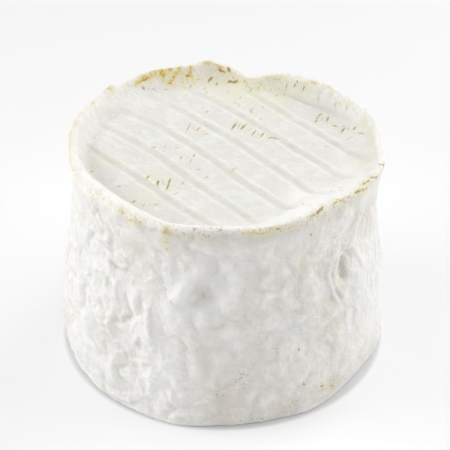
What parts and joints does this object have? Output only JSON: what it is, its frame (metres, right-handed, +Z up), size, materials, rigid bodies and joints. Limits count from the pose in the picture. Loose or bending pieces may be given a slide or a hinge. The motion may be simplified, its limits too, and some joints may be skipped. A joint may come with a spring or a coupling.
{
  "type": "cheese wheel",
  "caption": "Small tall wheel of soft white-rinded cheese, whole, with a dished top, raised uneven rim, shallow rack grooves and a dented side.",
  "frame": {"origin": "centre of the bounding box at the flat underside, where the wheel stands", "axes": "+Z up through the wheel, -Y towards the side with the deep dimple, +X so that the leaf-shaped crease lies between -Y and +X"},
  "size_m": [0.0908, 0.0906, 0.0646],
  "materials": {
    "rind": "dry velvety white bloom over ivory rind, with small tan and golden-brown marks on the rim and top"
  },
  "bodies": {
    "root": {"cheese_wheel": "rind"}
  },
  "joints": []
}
